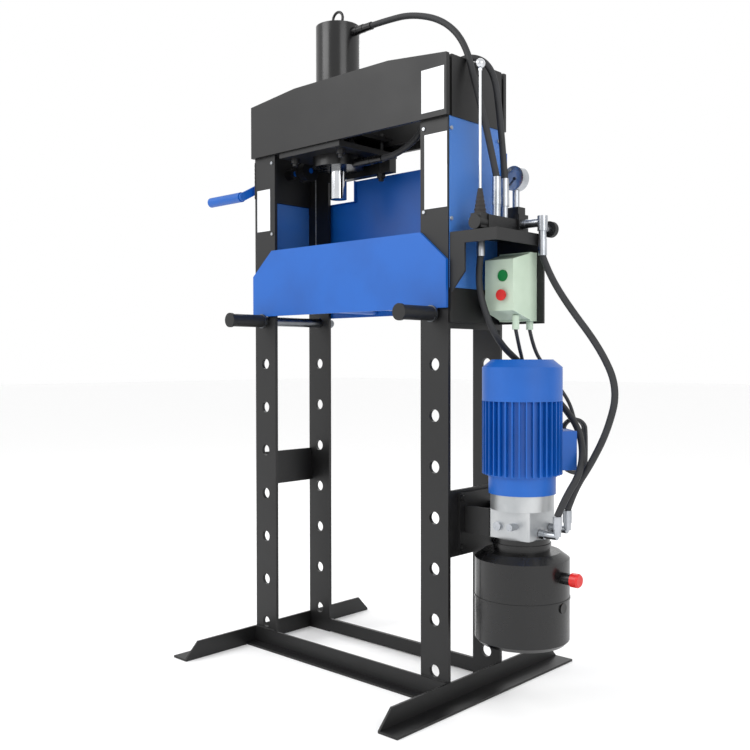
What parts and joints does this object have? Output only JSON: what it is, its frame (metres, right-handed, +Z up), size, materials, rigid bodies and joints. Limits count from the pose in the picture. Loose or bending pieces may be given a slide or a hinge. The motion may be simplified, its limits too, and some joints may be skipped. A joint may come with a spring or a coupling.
{
  "type": "hydraulic press",
  "caption": "Floor-standing H-frame workshop press with height-adjustable bed, sliding hydraulic cylinder, lever valve and upright motor pump pack.",
  "frame": {"origin": "bottom centre of the whole press on the floor, cords left out", "axes": "+Z up, +X to the pump side along the press, -Y the operator side"},
  "size_m": [1.3001, 0.753, 1.888],
  "materials": {
    "frame_black": "satin black powder coat",
    "bed_blue": "satin blue powder coat",
    "chrome": "hard chrome plated, ground",
    "zinc": "zinc plated steel",
    "grip_plastic": "matt moulded plastic",
    "black_gloss": "gloss black enamel",
    "cast_alu": "machined and cast aluminium",
    "hose_rubber": "wrapped hydraulic hose rubber",
    "boot_rubber": "soft rubber boot",
    "cable_pvc": "grey-black PVC sheath",
    "box_grey": "pale grey-green plastic",
    "button_green": "green plastic",
    "button_red": "red plastic",
    "wire_rope": "galvanised wire rope",
    "placard_white": "blank white film",
    "rotor_steel": "turned steel"
  },
  "bodies": {
    "frame": {"bell": "cast_alu", "cross_angle": "frame_black", "cross_bar": "frame_black", "crosshead_back": "frame_black", "crosshead_ends": "frame_black", "crosshead_front": "frame_black", "fan_cover": "bed_blue", "foot_left": "frame_black", "foot_right": "frame_black", "frame_bolts": "zinc", "gauge_case": "zinc", "guard_left": "bed_blue", "guard_rear": "bed_blue", "guard_right": "bed_blue", "hose_lower": "hose_rubber", "hose_pressure": "hose_rubber", "hose_return": "hose_rubber", "hose_upper": "hose_rubber", "lever_boot": "boot_rubber", "manifold": "cast_alu", "manifold_fittings": "zinc", "motor_frame": "bed_blue", "motor_lead": "cable_pvc", "oil_tank": "black_gloss", "placards": "placard_white", "pump_bracket": "frame_black", "side_plates": "frame_black", "starter_box": "box_grey", "supply_coil": "cable_pvc", "supply_lead": "cable_pvc", "terminal_box": "bed_blue", "upright_back_left": "frame_black", "upright_back_right": "frame_black", "upright_front_left": "frame_black", "upright_front_right": "frame_black", "valve_body": "frame_black", "valve_bracket": "frame_black", "valve_fittings": "zinc", "winch_rope": "wire_rope"},
    "bed": {"bed_front": "bed_blue", "bed_back": "bed_blue", "bed_spacers": "bed_blue"},
    "pin_left_body": {"pin_left": "zinc", "grip_left": "grip_plastic"},
    "pin_right_body": {"pin_right": "zinc", "grip_right": "grip_plastic"},
    "cylinder": {"carriage": "frame_black", "cylinder_tube": "frame_black", "cylinder_head": "frame_black", "cylinder_gland": "frame_black"},
    "ram": {"piston_rod": "chrome"},
    "winch": {"winch_crank": "bed_blue", "winch_drum": "frame_black"},
    "throttle": {"throttle_knob": "grip_plastic"},
    "lever": {"valve_lever": "chrome"},
    "needle": {"gauge_needle": "black_gloss"},
    "start": {"start_button": "button_green"},
    "stop": {"stop_button": "button_red"},
    "motor_rotor": {"rotor": "rotor_steel"},
    "cap": {"filler_cap": "button_red"}
  },
  "joints": [
    {"name": "carriage_slide", "type": "slide", "parent": "frame", "child": "cylinder", "axis": [1, 0, 0], "range_m": [0, 0.26], "deforming": ["hose_upper", "hose_lower"]},
    {"name": "ram_slide", "type": "slide", "parent": "cylinder", "child": "ram", "axis": [0, 0, -1], "range_m": [0, 0.16]},
    {"name": "bed_lift", "type": "slide", "parent": "frame", "child": "bed", "axis": [0, 0, 1], "range_m": [0, 0.05], "deforming": ["winch_rope"]},
    {"name": "winch_turn", "type": "hinge", "parent": "frame", "child": "winch", "pos_m": [-0.4625, 0.0135, 1.44], "axis": [1, 0, 0], "range_deg": [0, 99.6]},
    {"name": "left_pin_pull", "type": "slide", "parent": "frame", "child": "pin_left_body", "axis": [0, -1, 0], "range_m": [0, 0.29]},
    {"name": "right_pin_pull", "type": "slide", "parent": "frame", "child": "pin_right_body", "axis": [0, -1, 0], "range_m": [0, 0.29]},
    {"name": "valve_lever_tilt", "type": "hinge", "parent": "frame", "child": "lever", "pos_m": [0.3825, -0.08, 1.212], "axis": [1, 0, 0], "range_deg": [-12, 12], "stiffness_Nm_per_rad": 4, "deforming": ["lever_boot"]},
    {"name": "throttle_turn", "type": "hinge", "parent": "frame", "child": "throttle", "pos_m": [0.4675, 0.097, 1.193], "axis": [0, 1, 0], "range_deg": [0, 720]},
    {"name": "gauge_needle_turn", "type": "hinge", "parent": "frame", "child": "needle", "pos_m": [0.3825, 0.065, 1.329], "axis": [0, 1, 0], "range_deg": [0, 270], "stiffness_Nm_per_rad": 0.0005},
    {"name": "start_press", "type": "slide", "parent": "frame", "child": "start", "axis": [0, 1, 0], "range_m": [0, 0.004], "stiffness_N_per_m": 400},
    {"name": "stop_press", "type": "slide", "parent": "frame", "child": "stop", "axis": [0, 1, 0], "range_m": [0, 0.004], "stiffness_N_per_m": 400},
    {"name": "motor_spin", "type": "hinge", "parent": "frame", "child": "motor_rotor", "pos_m": [0.4525, 0, 0.6], "axis": [0, 0, -1], "continuous": true},
    {"name": "filler_cap_turn", "type": "hinge", "parent": "frame", "child": "cap", "pos_m": [0.5975, 0, 0.335], "axis": [1, 0, 0], "range_deg": [0, 360]}
  ],
  "couplings": [
    {"joint": "winch_turn", "follows": "bed_lift", "rad_per_m": 34.72}
  ]
}
